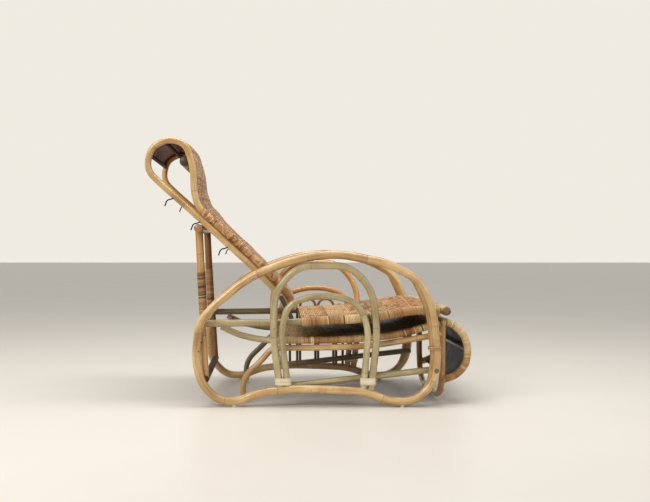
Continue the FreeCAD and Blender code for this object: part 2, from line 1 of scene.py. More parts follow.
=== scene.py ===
"""A rattan folding recliner: glossy bent poles, cane windings with their turns, and woven sheets."""
import bpy
import math
import numpy as np
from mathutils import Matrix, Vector


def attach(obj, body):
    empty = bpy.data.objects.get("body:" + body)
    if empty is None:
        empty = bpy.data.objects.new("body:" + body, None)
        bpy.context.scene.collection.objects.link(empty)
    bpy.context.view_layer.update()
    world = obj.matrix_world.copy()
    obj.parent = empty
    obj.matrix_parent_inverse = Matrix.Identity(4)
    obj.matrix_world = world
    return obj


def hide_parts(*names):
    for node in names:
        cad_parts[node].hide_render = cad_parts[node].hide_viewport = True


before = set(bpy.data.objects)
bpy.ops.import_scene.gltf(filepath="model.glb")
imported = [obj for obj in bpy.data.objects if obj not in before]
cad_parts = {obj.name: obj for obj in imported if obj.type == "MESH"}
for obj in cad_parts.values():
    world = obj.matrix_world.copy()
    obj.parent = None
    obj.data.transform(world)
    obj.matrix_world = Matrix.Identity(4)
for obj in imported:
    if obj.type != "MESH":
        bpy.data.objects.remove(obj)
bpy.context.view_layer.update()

# Sizes of the model, in millimetres, as (reach, height) places behind and above the datum
DATUM = 155.0
ARC_SHARE = 0.45
SIDE_POLE, OUTER_ARCH_POLE, INNER_ARCH_POLE, DOUBLER_POLE = 33.0, 28.0, 26.0, 24.0
STRETCHER_POLE, CROSSBAR_POLE, SEAT_POLE, SEAT_WRAP, NOSE_POLE = 25.0, 28.0, 28.0, 35.0, 35.0
HOOP_POLE, BACK_POLE, BACK_WRAP, PROP_POLE, PROP_WRAP = 12.0, 26.0, 29.0, 31.0, 34.0
CATCH_POLE, FOOT_POLE, FOOT_WRAP, FOOT_UNDER_POLE, LEG_POLE = 33.0, 25.0, 29.0, 24.0, 26.0
FRONT_CROSS_POLE, SLAT_POLE, HEAD_ROLL = 20.0, 16.0, 40.0
WEAVE, WEAVE_LIFT, FIT_GAP, BINDING = 4.0, 8.5, 0.3, 2.5
SIDE_Y, ARCH_Y, STRETCHER_Y, SEAT_Y, BACK_Y = 333.0, 330.5, 301.2, 298.7, 265.8
FOOT_RAIL_Y, PROP_POST_Y, BACK_SPACING = 258.0, 226.0, 28.5
PROP_PIVOT, CATCH_BAR, NOSE = (-262, 325), (-280.8, 693.5), (692, 369)
SIDE_LOOP = [(-125, 20), (-200, 27), (-263, 90), (-285, 190), (-270, 325), (-215, 391), (-77, 505), (105, 574),
             (262, 595), (465, 557), (588, 484), (634, 375), (653, 190), (637, 92), (566, 24),
             (473, 20), (370, 60), (215, 67), (90, 70), (-40, 55)]
DOUBLER_TOP, DOUBLER_FOOT, DOUBLER_SPACING = (560, 499), (598, 55), 15.0
OUTER_ARCH = [(44, 60), (15, 270), (22, 448), (112, 547), (316, 547), (402, 450), (421, 280), (393, 60)]
INNER_ARCH = [(75, 60), (46, 290), (73, 398), (165, 429), (265, 429), (350, 398), (386, 300), (365, 60)]
STRETCHER = [(85, 78), (129, 82), (655, 142)]
SEAT_RAIL = [(-262, 320), (100, 325), (385, 340), (570, 373), (692, 369)]
BACK_UNDER = [(80, 366), (38, 436), (-75, 550), (-300, 756), (-425, 866)]
BACK_HEAD = [(-485, 925), (-468, 1013), (-402, 1047), (-331, 1030), (-300, 935), (-297, 835)]
FOOT_RAIL = [(-190, 305), (-118, 271), (-20, 250), (280, 250), (500, 268), (640, 308), (712, 327),
             (772, 274), (790, 212), (778, 150), (742, 112), (687, 93)]
FOOT_UNDER = [(-104, 12), (-104, 80), (-85, 118), (-24, 176), (8, 216), (65, 220), (222, 221),
              (400, 226), (629, 265), (687, 277)]
SCARF_ENDS, SEAM_WIDTH, NAIL_HEAD, NAILS = [(-300, 126), (-245, 331)], 2.6, 5.5, (0.2, 0.5, 0.8)
REAR_LOW_BAR, FRONT_CROSS_RAIL = (-248, 104), (634, 343)
SEAT_SLATS = [(138, 327.5), (350, 339), (500, 359)]
BACK_SLATS, HEAD_SLATS = (0.12, 0.5, 0.86), [(-473.5, 985), (-401, 1027)]
FOOT_SLATS = [(-176, 298), (22, 250), (300, 251), (560, 284), (781, 212)]
HEAD_ROLL_AT = (-336, 960)
HOOP_LEGS = [(97, 131, 350), (144.5, 215.5, 377), (228.5, 299.5, 377), (312.5, 343, 350)]
LEG_REACH, LEG_LOW = 687.0, 19.0
LEG_TURN, LEG_CHAMFER, LEG_CORNER = 0.111, 0.029, 0.048
SEAT_CROWNS = [(0, 17), (0.3, 17), (0.58, 30), (0.86, 28), (1, 12)]
BACK_CROWNS = [(0, 2), (0.3, 12), (0.44, 26), (0.65, 12), (1, 8)]
FOOT_CROWNS = [(0, 4), (0.5, 5), (1, 2)]

# Where windings, sheets and bands begin and end, and how far cross members stop short
SEAT_WRAP_ENDS, FOOT_WRAP_START, PROP_WRAP_ENDS = (125.0, 668.0), 0.0, (352.0, 521.0)
BACK_WRAP_NECK, BACK_WRAP_FOOT, PROP_WRAP_PITCH = 12.0, 14.0, 0.0044
NOSE_CLEAR, WEAVE_LOW_END, SHEET_EDGE = 0.0198, 985.0, 4.5
FOOT_SHEET_START, ROLL_SHEET_LOW, ROLL_SHEET_REACH = 12.0, 200.0, 717.0
ARCH_FEET, FOOT_BAND = ((38.8, 70.2), (368.3, 397.8)), (85.0, 112.0)
FRONT_RING, FRONT_BAND, FRONT_BAND_PITCH = (634.1, 649.1), (221.0, 235.0), 4.7
SEAT_SLAT_SHORT, BACK_SLAT_SHORT, FOOT_SLAT_SHORT, CROSS_RAIL_SHORT = 14, 11, 10, 12
PROP_EYE, CATCH_PAST, CORE_INSET, ROLL_OVERLAP = 42.1, 4.0, 2.6, 2
ALONG_Y = np.array([0.0, 1.0, 0.0])
ALONG_X = np.array([1.0, 0.0, 0.0])
chance = np.random.default_rng(11)


def place(point, y=0.0):
    """A (reach, height) pair in millimetres as a point of the scene in metres."""
    return np.array([point[0] - DATUM, y, point[1]]) / 1000.0


def x_of(reach):
    """A reach in millimetres as the scene's x in metres."""
    return (reach - DATUM) / 1000


def unit(v):
    return v / np.linalg.norm(v)


def left_of(along):
    """The normal to the left of a direction, in the side view."""
    return np.array([-along[2], 0.0, along[0]])


class Route:
    """Straight runs joined by tangent arcs, read by length along it."""

    def __init__(self, points, closed=False, bend=True):
        points = [np.asarray(p, float) for p in points]
        count = len(points)
        line = []
        corners = range(count) if closed else range(1, count - 1)
        if not closed:
            line.append(points[0])
        for i in corners if bend else []:
            corner = points[i]
            back, ahead = points[i - 1] - corner, points[(i + 1) % count] - corner
            reach = ARC_SHARE * min(np.linalg.norm(back), np.linalg.norm(ahead))
            back, ahead = unit(back), unit(ahead)
            turn = math.pi - math.acos(max(-1.0, min(1.0, float(back @ ahead))))
            start, end = corner + back * reach, corner + ahead * reach
            radius = reach / math.tan(turn / 2)
            inward = unit(back + ahead)
            centre = corner + inward * (radius / math.cos(turn / 2))
            a, b = start - centre, end - centre
            steps = max(4, int(math.degrees(turn) / 2.0))
            for k in range(steps + 1):
                share = k / steps
                line.append(centre + (a * math.sin((1 - share) * turn) + b * math.sin(share * turn)) / math.sin(turn))
        if closed:
            line.append(line[0])
        else:
            line.append(points[-1])
        line = np.array(line)
        gaps = np.linalg.norm(np.diff(line, axis=0), axis=1)
        line = line[np.concatenate([[True], gaps > 1e-7])]
        gaps = gaps[gaps > 1e-7]
        self.run = np.concatenate([[0.0], np.cumsum(gaps)])
        self.line = line
        self.length = float(self.run[-1])
        self.closed = closed

    def at(self, s):
        """Points and directions at lengths s, with the ends carried on straight."""
        s = np.asarray(s, float)

        def spot(q):
            if self.closed:
                q = np.mod(q, self.length)
            inside = np.clip(q, 0.0, self.length)
            found = np.stack([np.interp(inside, self.run, self.line[:, k]) for k in range(3)], -1)
            first = unit(self.line[1] - self.line[0])
            last = unit(self.line[-1] - self.line[-2])
            found = found + np.minimum(q, 0.0)[..., None] * first if not self.closed else found
            if not self.closed:
                found = found + np.maximum(q - self.length, 0.0)[..., None] * last
            return found

        ahead = spot(s + 0.002) - spot(s - 0.002)
        return spot(s), ahead / np.linalg.norm(ahead, axis=-1, keepdims=True)

    def where(self, kept, step=0.0005):
        """The lowest and highest length at which kept(point) holds."""
        s = np.arange(0.0, self.length, step)
        spots, _ = self.at(s)
        good = s[[bool(kept(p)) for p in spots]]
        return float(good.min()), float(good.max())

    def samples(self, step=0.001):
        """Lengths along the route, with their points."""
        s = np.arange(0.0, self.length, step)
        return s, self.at(s)[0]


def cells(grid, axis):
    """The four corners of each cell of a grid, in order round it."""
    return np.stack([grid[:-1, :-1], grid[:-1, 1:], grid[1:, 1:], grid[1:, :-1]], axis)


class Shape:
    """A mesh in the making, from grids of points with a map, a tone and a mark at each."""

    def __init__(self, end_mark=0.25):
        self.end_mark = end_mark
        self.co, self.tone, self.mark = [], [], []
        self.quads, self.tris, self.quad_uv, self.tri_uv = [], [], [], []
        self.count = 0

    def add(self, points, uv, tone, mark, round_u=False, round_v=False):
        """points is rows x columns; uv has one more row or column where the grid closes on itself."""
        rows, cols = points.shape[:2]
        index = np.arange(rows * cols).reshape(rows, cols) + self.count
        if round_v:
            index = np.concatenate([index, index[:, :1]], 1)
        if round_u:
            index = np.concatenate([index, index[:1]], 0)
        self.quads.append(cells(index, -1).reshape(-1, 4))
        self.quad_uv.append(cells(uv, -2).reshape(-1, 4, 2))
        self.co.append(points.reshape(-1, 3))
        self.tone.append(np.broadcast_to(tone, (rows, cols)).reshape(-1))
        self.mark.append(np.broadcast_to(mark, (rows, cols)).reshape(-1))
        self.count += rows * cols
        return index

    def cap(self, ring, outward_first):
        """Closes a ring of points with a fan."""
        points = np.concatenate(self.co)[ring]
        centre = points.mean(0)
        self.co.append(centre[None])
        tip = self.count
        self.tone.append(np.array([0.3]))
        self.mark.append(np.array([self.end_mark]))
        self.count += 1
        after = np.roll(ring, -1)
        tips = np.full(len(ring), tip)
        fan = np.stack([tips, after, ring], -1) if outward_first else np.stack([tips, ring, after], -1)
        self.tris.append(fan)
        self.tri_uv.append(np.zeros((len(ring), 3, 2)))

    def make(self, name, body, material, nodes=(), slot=None):
        co = np.concatenate(self.co)
        quads = np.concatenate(self.quads)
        tris = np.concatenate(self.tris) if self.tris else np.zeros((0, 3), int)
        mesh = bpy.data.meshes.new(name)
        mesh.vertices.add(len(co))
        mesh.vertices.foreach_set("co", co.astype(np.float32).ravel())
        loops = np.concatenate([quads.ravel(), tris.ravel()]).astype(np.int32)
        mesh.loops.add(len(loops))
        mesh.loops.foreach_set("vertex_index", loops)
        starts = np.concatenate([np.arange(len(quads)) * 4, len(quads) * 4 + np.arange(len(tris)) * 3])
        mesh.polygons.add(len(starts))
        mesh.polygons.foreach_set("loop_start", starts.astype(np.int32))
        uv = np.concatenate([np.concatenate(self.quad_uv).reshape(-1, 2)] +
                            ([np.concatenate(self.tri_uv).reshape(-1, 2)] if self.tris else []))
        layer = mesh.uv_layers.new(name="run")
        layer.data.foreach_set("uv", uv.astype(np.float32).ravel())
        for label, values in (("tone", self.tone), ("mark", self.mark)):
            attribute = mesh.attributes.new(label, "FLOAT", "POINT")
            attribute.data.foreach_set("value", np.concatenate(values).astype(np.float32))
        mesh.polygons.foreach_set("use_smooth", np.ones(len(starts), bool))
        mesh.update(calc_edges=True)
        mesh.validate()
        mesh.materials.append(material)
        obj = bpy.data.objects.new(name, mesh)
        bpy.context.scene.collection.objects.link(obj)
        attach(obj, body)
        if nodes:
            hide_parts(*nodes)
        return obj


def rings(route, s, side, radius, around, lead=None):
    """Rings of points round a route: radius is one value per ring, lead moves each point along by its angle."""
    theta = np.linspace(0, 2 * math.pi, around, endpoint=False)
    if lead is None:
        spots, along = route.at(s)
        spots, along = spots[:, None], along[:, None]
    else:
        spots, along = route.at(s[:, None] + lead * theta[None] / (2 * math.pi))
    up = np.cross(along, side)
    r = np.broadcast_to(np.asarray(radius, float).reshape(len(s), -1, 1), (len(s), around, 1))
    return spots + r * (np.cos(theta)[None, :, None] * side + np.sin(theta)[None, :, None] * up)


def pole(shape, route, side, diameter, start=None, end=None, around=18, spread=(0.20, 0.42), swell=0.03):
    """A rattan pole with its growth rings: a slight swelling, a fine dark line, and a change of tone at each."""
    radius = diameter / 2000.0
    start = 0.0 if start is None else start
    end = route.length if end is None else end
    rows = [np.linspace(start, end, max(3, int((end - start) / 0.008)), endpoint=not route.closed)]
    knots = []
    here = start + chance.uniform(0.03, spread[1])
    while here < end - 0.02:
        knots.append(here)
        here += chance.uniform(*spread)
    for knot in knots:
        rows.append(knot + np.array([-0.008, -0.004, -0.0018, -0.0007, 0.0, 0.0007, 0.0018, 0.004, 0.008]))
    s = np.unique(np.round(np.clip(np.concatenate(rows), start, end), 5))
    if route.closed:
        s = s[s < end - 1e-4]
    lip = min(0.0016, radius * 0.2)
    if not route.closed:
        s = np.concatenate([[s[0], s[0] + lip], s[(s > s[0] + lip) & (s < s[-1] - lip)], [s[-1] - lip, s[-1]]])
    r = np.full(len(s), radius)
    mark = np.zeros(len(s))
    tones = chance.uniform(0, 1, len(knots) + 1)
    for knot in knots:
        away = np.abs(s - knot)
        r += radius * swell * np.exp(-(away / 0.005) ** 2) - 0.00045 * np.exp(-(away / 0.0007) ** 2)
        mark = np.maximum(mark, np.exp(-(away / 0.0012) ** 2))
    tone = tones[np.searchsorted(knots, s)] if knots else np.full(len(s), tones[0])
    if not route.closed:
        r[0] = r[-1] = radius - lip
        ends = [0, 1, -2, -1]
        mark[ends] = np.maximum(mark[ends], shape.end_mark)
    points = rings(route, s, side, r, around)
    theta = np.linspace(0, 2 * math.pi, around + 1)
    shift = chance.uniform(0, 5)
    lengths = np.append(s, route.length) if route.closed else s
    uv = np.stack(np.broadcast_arrays(lengths[:, None] + shift, theta[None] * radius + shift), -1)
    index = shape.add(points, uv, tone[:, None], mark[:, None], round_u=route.closed, round_v=True)
    if not route.closed:
        shape.cap(index[0][:-1], True)
        shape.cap(index[-1][:-1], False)
    return shape


def bands(count, run=9.0):
    """One tone per turn of cane: mostly steady, drifting in runs, with odd pale or dark turns."""
    drift = chance.normal(0, 1, count)
    kernel = np.exp(-0.5 * (np.arange(-20, 21) / run * 2.5) ** 2)
    smooth = np.convolve(drift, kernel / math.sqrt((kernel ** 2).sum()), mode="same")[:count]
    drift = smooth if count > len(kernel) else drift * 0.5
    tone = 0.5 + 0.17 * drift + chance.normal(0, 0.09, count)
    odd = chance.uniform(0, 1, count)
    tone = np.where(odd < 0.04, 0.06, np.where(odd > 0.95, 0.97, tone))
    return np.clip(tone, 0.02, 0.98)


TURN = np.array([0.0, 0.09, 0.3, 0.5, 0.7, 0.91])
TURN_RISE = np.array([0.0, 0.72, 0.96, 1.0, 0.96, 0.72])


def winding(shape, route, side, outer, start, end, pitch=0.0058, depth=0.0011, around=18):
    """Split cane wound round a pole, turn by turn, as one helical surface."""
    radius = outer / 2000.0
    turns = max(2, int(round((end - start - pitch) / pitch)))
    pitch = (end - start) / (turns + 1)
    s = (start + (np.arange(turns)[:, None] + TURN[None]) * pitch).ravel()
    s = np.append(s, start + turns * pitch)
    rise = np.append(np.tile(TURN_RISE, turns), 0.0)
    tone = np.append(np.repeat(bands(turns), len(TURN)), 0.5)
    wobble = np.append(np.repeat(chance.normal(0, 0.00018, turns), len(TURN)), 0.0)
    r = radius - depth * (1 - rise) + wobble * rise
    theta = np.linspace(0, 2 * math.pi, around, endpoint=False)
    points = rings(route, s, side, r, around, lead=pitch)
    full = np.append(theta, 2 * math.pi)
    uv = np.stack(np.broadcast_arrays(s[:, None], full[None] * radius), -1)
    # the surface advances one turn each time round, so its last column meets the next turn's first
    rows = len(s)
    step = len(TURN)
    index = np.arange(rows * around).reshape(rows, around) + shape.count
    shape.co.append(points.reshape(-1, 3))
    shape.tone.append(np.repeat(tone, around))
    # the mark is 1 in the groove between turns, which the cane material paints as shade
    shape.mark.append(np.repeat(1.0 - rise, around))
    shape.count += rows * around
    inner = cells(index, -1).reshape(-1, 4)
    inner_uv = cells(uv[:, :-1], -2).reshape(-1, 4, 2)
    last, first = index[:, -1], index[:, 0]
    low, high = slice(0, rows - 1 - step), slice(1, rows - step)
    join = np.stack([last[low], first[step:rows - 1], first[step + 1:rows], last[high]], -1)
    join_uv = np.stack([uv[low, -2], uv[low, -1], uv[high, -1], uv[high, -2]], -2)
    shape.quads += [inner, join]
    shape.quad_uv += [inner_uv, join_uv]
    return shape


def smooth_blend(knots, share):
    """Values at shares of a length, eased between knots of (share, value)."""
    found = np.full(share.shape, float(knots[-1][1]))
    for (a, u), (b, v) in zip(knots, knots[1:]):
        inside = (share >= a) & (share <= b)
        step = (share - a) / (b - a)
        found = np.where(inside, u + (v - u) * step * step * (3 - 2 * step), found)
    return found


def woven(shape, route, start, end, half, crowns, pitch=0.0068, stake=0.0150, seed=1.0):
    """Flat cane woven over thin stakes: a closed, crowned sheet with the weave's relief on both faces."""
    rows_per, cols_per = 4, 4
    wefts = int((end - start) / pitch)
    pitch = (end - start) / wefts
    s = np.linspace(start, end, wefts * rows_per + 1)
    stakes = int(round(2 * half / stake))
    y = np.linspace(-half, half, stakes * cols_per + 1)
    spots, along = route.at(s)
    up = np.cross(along, ALONG_Y)
    share = (s - start) / (end - start)
    crown = smooth_blend(crowns, share) / 1000.0
    across = 1 - (y / half) ** 2
    weft = np.minimum((np.arange(len(s)) // rows_per), wefts - 1)
    inside = (np.arange(len(s)) % rows_per) / rows_per
    ridge = np.where(inside == 0, 0.0, np.where(inside == 0.5, 1.0, 0.78))
    wave = np.cos(math.pi * (y[None] + half) / (2 * half) * stakes + math.pi * (weft[:, None] % 2))
    relief = 0.0009 * ridge[:, None] * wave + 0.0006 * (ridge[:, None] - 1)
    sag = 0.0013 * np.sin(s[:, None] * 31 + seed) * np.sin(y[None] * 23 + seed * 2) \
        + 0.0009 * np.sin(s[:, None] * 67 + seed * 3 + 9 * y[None])
    lift = crown[:, None] * across[None] + sag * across[None]
    base = spots[:, None] + ALONG_Y * y[None, :, None]
    tone = bands(wefts)[weft]
    patch = 0.10 * np.sin(s[:, None] * 19 + 4 * np.sin(y[None] * 11 + seed)) \
        + 0.05 * np.sin(y[None] * 90 + s[:, None] * 40)
    tinted = np.clip(tone[:, None] + patch, 0, 1)
    # painted shade in the gaps between wefts and where a strand passes under a stake
    weave_shade = np.clip(0.45 * (1 - ridge[:, None]) * 2 + 0.30 * np.clip(-wave, 0, 1), 0, 1)
    top = base + up[:, None] * (WEAVE_LIFT / 1000 + WEAVE / 1000 - 0.0006 + lift + relief)[..., None]
    low = base + up[:, None] * (WEAVE_LIFT / 1000 + 0.0010 + lift + relief)[..., None]
    uv = np.stack(np.broadcast_arrays(s[:, None] + seed, y[None]), -1)
    first = shape.add(top, uv, tinted, weave_shade)
    # the underside carries a mark of 2 or more, which its material paints dark as painted shade
    second = shape.add(low[:, ::-1], uv[:, ::-1], tinted[:, ::-1], 2.0 + weave_shade[:, ::-1])
    rims = [(first[:, 0], second[:, -1], False), (first[:, -1], second[:, 0], True),
            (first[0], second[0][::-1], True), (first[-1], second[-1][::-1], False)]
    for near, far, flip in rims:
        quad = np.stack([near[:-1], near[1:], far[1:], far[:-1]], -1)
        if flip:
            quad = quad[:, ::-1]
        shape.quads.append(quad)
        shape.quad_uv.append(np.zeros((len(quad), 4, 2)))
    return shape


def beside(places, distance):
    """Corner places moved to the right, so that runs stay parallel."""
    moved = []
    for i, here in enumerate(places):
        normals = []
        if i > 0:
            normals.append(left_of(unit(place(here) - place(places[i - 1]))))
        if i < len(places) - 1:
            normals.append(left_of(unit(place(places[i + 1]) - place(here))))
        total = unit(sum(normals))
        reach = distance / (total @ normals[0])
        moved.append((here[0] - total[0] * reach, here[1] - total[2] * reach))
    return moved


def side_route(places, y, closed=False):
    return Route([place(p, y) for p in places], closed)


def cross_route(at, low, high):
    return Route([place(at, low), place(at, high)], bend=False)


def stadium_band(shape, low_at, high_at, y, wide, low, high, pitch=4.4):
    """Cane bound round two upright poles, from height low to high, in millimetres."""
    turns = max(2, int(round((high - low) / pitch)))
    z = np.append((low + (np.arange(turns)[:, None] + TURN[None]) * (high - low) / turns).ravel(), high)
    rise = np.append(np.tile(TURN_RISE, turns), 0.0)
    arc = np.linspace(-math.pi / 2, math.pi / 2, 11)
    outline = [(high_at + wide / 2 * math.cos(a), wide / 2 * math.sin(a)) for a in arc]
    outline += [(low_at - wide / 2 * math.cos(a), wide / 2 * math.sin(a)) for a in arc[::-1]]
    outline = np.array(outline)
    centre = np.array([(low_at + high_at) / 2, 0.0])
    spread = outline - centre
    size = np.linalg.norm(spread, axis=1, keepdims=True)
    points = np.zeros((len(z), len(outline), 3))
    for i, height in enumerate(z):
        ring = centre + spread / size * (size - 1.0 * (1 - rise[i]))
        points[i, :, 0] = (ring[:, 0] - DATUM) / 1000
        points[i, :, 1] = (ring[:, 1] + y) / 1000
        points[i, :, 2] = height / 1000
    tone = np.append(np.repeat(bands(turns), len(TURN)), 0.5)
    steps = np.linalg.norm(np.diff(np.vstack([outline, outline[:1]]), axis=0), axis=1)
    lengths = np.concatenate([[0], np.cumsum(steps)]) / 1000
    uv = np.stack(np.broadcast_arrays(z[:, None] / 1000, lengths[None]), -1)
    # the mark is 1 in the groove between turns, which the cane material paints as shade
    index = shape.add(points, uv, tone[:, None], (1 - rise)[:, None], round_v=True)
    shape.cap(index[0][:-1], True)
    shape.cap(index[-1][:-1], False)
    return shape


# Materials

def linear(r, g, b):
    """A colour given as 0 to 255, as Blender's linear colour."""
    def one(c):
        c /= 255.0
        return c / 12.92 if c <= 0.04045 else ((c + 0.055) / 1.055) ** 2.4
    return (one(r), one(g), one(b), 1.0)


class Nodes:
    """Short names for building a material's nodes."""

    def __init__(self, name):
        self.material = bpy.data.materials.new(name)
        self.material.use_nodes = True
        self.tree = self.material.node_tree
        self.shader = self.tree.nodes["Principled BSDF"]

    def new(self, kind, **values):
        node = self.tree.nodes.new(kind)
        for key, value in values.items():
            setattr(node, key, value)
        return node

    def link(self, source, target):
        self.tree.links.new(source, target)

    def noise(self, vector, scale, stretch=(1, 1, 1), detail=3.0, rough=0.55):
        mapping = self.new("ShaderNodeMapping")
        mapping.inputs["Scale"].default_value = stretch
        self.link(vector, mapping.inputs["Vector"])
        node = self.new("ShaderNodeTexNoise")
        node.inputs["Scale"].default_value = scale
        node.inputs["Detail"].default_value = detail
        node.inputs["Roughness"].default_value = rough
        self.link(mapping.outputs["Vector"], node.inputs["Vector"])
        return node.outputs["Fac"]

    def math(self, how, a, b, clamp=False):
        node = self.new("ShaderNodeMath", operation=how, use_clamp=clamp)
        for socket, value in zip(node.inputs, (a, b)):
            if isinstance(value, (int, float)):
                socket.default_value = value
            else:
                self.link(value, socket)
        return node.outputs[0]

    def spread(self, value, low, high, to_low, to_high):
        node = self.new("ShaderNodeMapRange")
        self.link(value, node.inputs["Value"])
        for key, number in (("From Min", low), ("From Max", high), ("To Min", to_low), ("To Max", to_high)):
            node.inputs[key].default_value = number
        return node.outputs["Result"]

    def ramp(self, value, stops):
        node = self.new("ShaderNodeValToRGB")
        marks = node.color_ramp.elements
        while len(marks) < len(stops):
            marks.new(0.5)
        for mark, (where, colour) in zip(marks, stops):
            mark.position = where
            mark.color = colour
        self.link(value, node.inputs["Fac"])
        return node.outputs["Color"]

    def mix(self, share, a, b):
        """Two colours, a and b, mixed by share; the colour sockets come after those of other types."""
        node = self.new("ShaderNodeMix", data_type="RGBA")
        for index, value in ((0, share), (6, a), (7, b)):
            if isinstance(value, tuple):
                node.inputs[index].default_value = value
            else:
                self.link(value, node.inputs[index])
        return node.outputs[2]

    def attribute(self, name):
        node = self.new("ShaderNodeAttribute", attribute_name=name)
        return node.outputs["Fac"]

    def bump(self, height, strength, distance):
        node = self.new("ShaderNodeBump")
        node.inputs["Strength"].default_value = strength
        node.inputs["Distance"].default_value = distance
        self.link(height, node.inputs["Height"])
        self.link(node.outputs["Normal"], self.shader.inputs["Normal"])

    def finish(self, colour, rough, coat=0.0, coat_rough=0.2, metal=0.0, specular=0.5):
        if isinstance(colour, tuple):
            self.shader.inputs["Base Color"].default_value = colour
        else:
            self.link(colour, self.shader.inputs["Base Color"])
        if isinstance(rough, float):
            self.shader.inputs["Roughness"].default_value = rough
        else:
            self.link(rough, self.shader.inputs["Roughness"])
        self.shader.inputs["Coat Weight"].default_value = coat
        self.shader.inputs["Coat Roughness"].default_value = coat_rough
        self.shader.inputs["Metallic"].default_value = metal
        self.shader.inputs["Specular IOR Level"].default_value = specular
        return self.material


def rattan(name, dark, middle, light, stain, coat=0.35, rough=(0.30, 0.50), specular=0.5):
    """Varnished pole: long fine streaks, patches, dark growth rings and scattered specks."""
    dark, middle, light, stain = (linear(*colour) for colour in (dark, middle, light, stain))
    n = Nodes(name)
    run = n.new("ShaderNodeUVMap", uv_map="run").outputs["UV"]
    spot = n.new("ShaderNodeTexCoord").outputs["Object"]
    streak = n.noise(run, 1.0, (7, 520, 1), 4.0, 0.6)
    broad = n.noise(run, 1.0, (5, 60, 1), 2.0)
    patch = n.noise(spot, 9.0, (1, 1, 1), 3.0)
    tone = n.attribute("tone")
    value = n.math("ADD", n.math("MULTIPLY", streak, 0.42), n.math("MULTIPLY", patch, 0.38))
    value = n.math("ADD", value, n.math("MULTIPLY", broad, 0.34))
    value = n.math("ADD", value, n.math("MULTIPLY", n.math("SUBTRACT", tone, 0.5), 0.14))
    colour = n.ramp(value, [(0.34, dark), (0.56, middle), (0.74, light)])
    stained = n.spread(n.noise(spot, 5.5, (1, 1, 1), 4.0, 0.65), 0.52, 0.70, 0.0, 0.65)
    colour = n.mix(stained, colour, stain)
    speck = n.spread(n.noise(spot, 130.0, (1, 1, 1), 2.0), 0.68, 0.73, 0.0, 0.85)
    where = n.spread(n.noise(spot, 11.0, (1, 1, 1), 2.0), 0.48, 0.60, 0.0, 1.0)
    colour = n.mix(n.math("MULTIPLY", speck, where), colour, linear(74, 44, 20))
    ring = n.math("MULTIPLY", n.attribute("mark"), 0.55, True)
    colour = n.mix(ring, colour, linear(66, 38, 16))
    n.bump(streak, 0.10, 0.0006)
    return n.finish(colour, n.spread(patch, 0.3, 0.7, *rough), coat, 0.12, specular=specular)


def cane(name, dark, middle, light, gap, under_shade=None, coat=0.12, rough=(0.36, 0.58), stain=None, shade=0.8,
         mottle=None, specular=0.5):
    """Split cane: a tone to each turn or strand, fine grain, painted shade in the gaps; the under colour is painted
    shade on a sheet's underside.
    """
    dark, middle, light, gap = (linear(*colour) for colour in (dark, middle, light, gap))
    n = Nodes(name)
    run = n.new("ShaderNodeUVMap", uv_map="run").outputs["UV"]
    spot = n.new("ShaderNodeTexCoord").outputs["Object"]
    grain = n.noise(run, 1.0, (950, 22, 1), 3.0)
    patch = n.noise(spot, 12.0, (1, 1, 1), 4.0, 0.6)
    tone = n.attribute("tone")
    mark = n.attribute("mark")
    value = n.math("ADD", n.math("MULTIPLY", tone, 0.42 if mottle else 0.72),
                   n.math("MULTIPLY", n.math("SUBTRACT", patch, 0.5), 0.75))
    if mottle:
        fine = n.math("SUBTRACT", n.noise(run, mottle, (1.0, 0.75, 1), 2.0, 0.7), 0.5)
        value = n.math("ADD", n.math("MULTIPLY", fine, 1.9), n.math("ADD", value, 0.15))
    value = n.math("ADD", value, n.math("MULTIPLY", grain, 0.26))
    colour = n.ramp(value, [(0.16, dark), (0.50, middle), (0.86, light)])
    if stain:
        stained = n.spread(n.noise(spot, 4.5, (1, 1, 1), 3.0, 0.6), 0.50, 0.68, 0.0, 0.7)
        colour = n.mix(stained, colour, linear(*stain))
    # painted shade in the grooves between turns and where woven strands pass under, mixed towards the gap colour
    groove_shade = n.math("MULTIPLY", n.math("MODULO", mark, 2.0), shade, True)
    colour = n.mix(groove_shade, colour, gap)
    # painted shade: a woven sheet's underside takes the under colour, near black on the seat and footrest
    if under_shade:
        under_shade = linear(*under_shade)
        underside_shade = n.math("GREATER_THAN", mark, 1.9)
        far = n.mix(n.math("MULTIPLY", grain, 0.7), under_shade, tuple(min(1.0, c * 2.2) for c in under_shade[:3]) + (1.0,))
        colour = n.mix(underside_shade, colour, far)
    n.bump(grain, 0.14, 0.0004)
    return n.finish(colour, n.spread(patch, 0.3, 0.7, *rough), coat, 0.3, specular=specular)


def plain(name, colour, other, scale, rough, metal=0.0, bump=0.1, specular=0.5):
    """Metal or moulded parts: two close tones and a little surface."""
    n = Nodes(name)
    spot = n.new("ShaderNodeTexCoord").outputs["Object"]
    grain = n.noise(spot, scale, (1, 1, 1), 4.0, 0.6)
    n.bump(grain, bump, 0.0005)
    return n.finish(n.mix(grain, linear(*colour), linear(*other)), n.spread(grain, 0.3, 0.7, *rough),
                    metal=metal, specular=specular)


tan = rattan("pole_tan", (104, 68, 30), (188, 148, 88), (226, 196, 142), (150, 98, 42), coat=0.8)
green = rattan("pole_green", (110, 96, 60), (176, 158, 112), (214, 202, 164), (156, 124, 76),
               coat=0.8)
orange = rattan("pole_orange", (112, 70, 28), (184, 134, 72), (216, 174, 108), (140, 88, 38),
                coat=0.8)
# a darker, less glossy pole: on the far rear post and the far prop post it is painted shade
brown = rattan("pole_brown", (70, 42, 20), (122, 80, 42), (160, 114, 66), (78, 46, 24),
               coat=0.2, specular=0.3)
shaded = rattan("pole_shaded", (78, 66, 42), (118, 102, 68), (150, 134, 96), (88, 66, 38))
